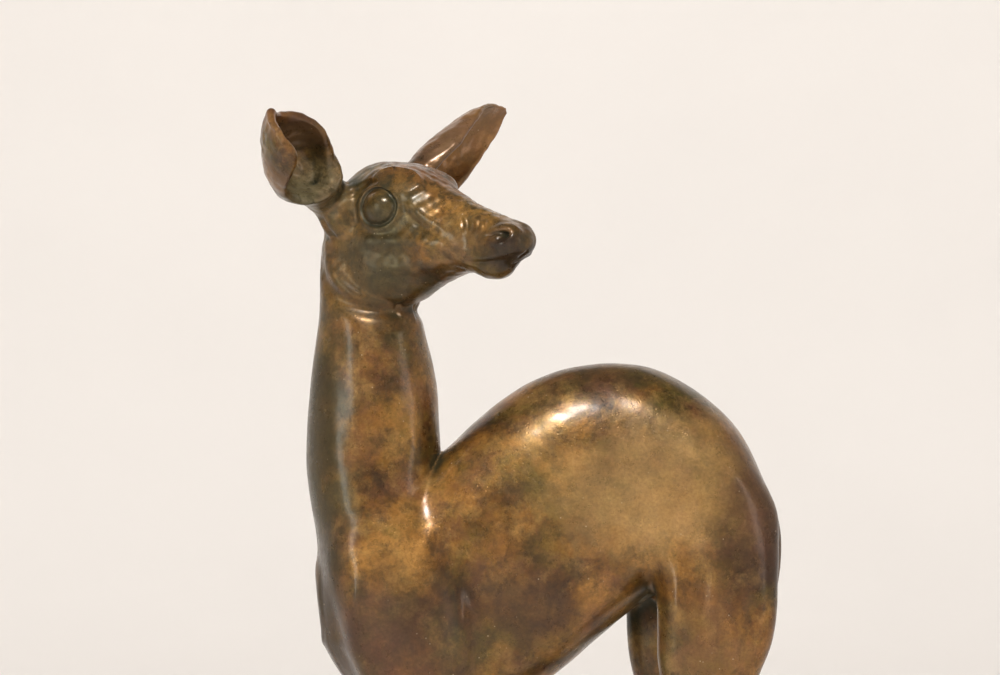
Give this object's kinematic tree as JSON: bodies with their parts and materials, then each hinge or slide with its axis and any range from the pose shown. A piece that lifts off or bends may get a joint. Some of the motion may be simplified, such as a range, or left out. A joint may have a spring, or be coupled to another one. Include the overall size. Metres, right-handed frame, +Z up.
{
  "type": "bronze statuette",
  "caption": "Hollow bronze statuette of a standing doe that looks back over its shoulder, bolted to a recessed bronze terrace with a felt underside.",
  "frame": {"origin": "centre of the felt's underside, on the surface that the statuette stands on", "axes": "+Z up; +X from the doe's chest to its rump; -Y is the doe's left side, to which its head is turned"},
  "size_m": [0.2643, 0.1322, 0.4625],
  "materials": {
    "patinated_bronze": "waxed brown and olive patina, mottled, glossy",
    "terrace_bronze": "waxed dark brown patina, satin",
    "bare_bronze": "bare drawn bronze",
    "zinc_steel": "zinc plated",
    "green_felt": "short pressed nap"
  },
  "bodies": {
    "root": {"torso": "patinated_bronze", "neck": "patinated_bronze", "head": "patinated_bronze", "right_ear": "patinated_bronze", "left_ear": "patinated_bronze", "tail": "patinated_bronze", "left_foreleg": "patinated_bronze", "right_foreleg": "patinated_bronze", "left_hind_leg": "patinated_bronze", "right_hind_leg": "patinated_bronze", "neck_joint_pins": "bare_bronze", "head_joint_pins": "bare_bronze", "leg_joint_pins": "bare_bronze", "ear_joint_pins": "bare_bronze", "tail_joint_pin": "bare_bronze", "core_plugs": "patinated_bronze", "terrace": "terrace_bronze", "hoof_studs": "zinc_steel", "stud_washers": "zinc_steel", "stud_nuts": "zinc_steel", "felt_sheet": "green_felt"}
  },
  "joints": []
}
